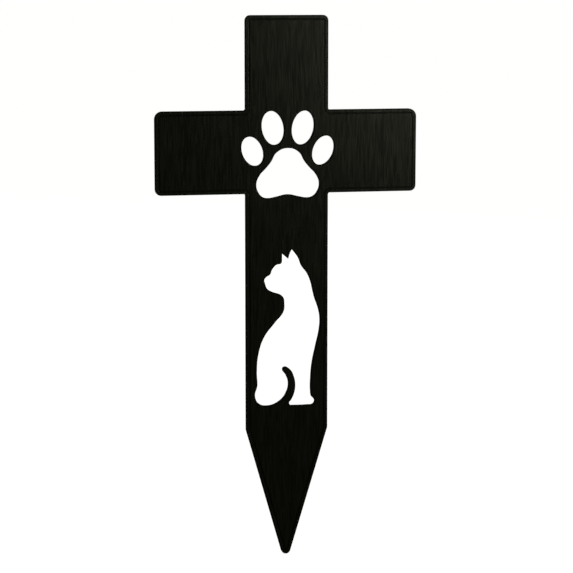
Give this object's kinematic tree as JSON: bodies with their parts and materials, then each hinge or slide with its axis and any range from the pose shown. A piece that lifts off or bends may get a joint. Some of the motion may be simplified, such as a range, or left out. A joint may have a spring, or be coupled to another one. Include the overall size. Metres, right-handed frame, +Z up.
{
  "type": "grave cross",
  "caption": "Flat metal grave cross with a paw print and a sitting cat cut through it, on a pointed stake that is pushed into the ground.",
  "frame": {"origin": "centre of the sheet at the ground line, where the stem's shoulders end and the pointed stake begins", "axes": "+Z up along the stem towards the head, X along the arms, -Y out of the front face that shows the cat facing left"},
  "size_m": [0.15, 0.003, 0.3102],
  "materials": {
    "black_metal": "satin black over brushed metal"
  },
  "bodies": {
    "root": {"grave_cross": "black_metal"}
  },
  "joints": []
}
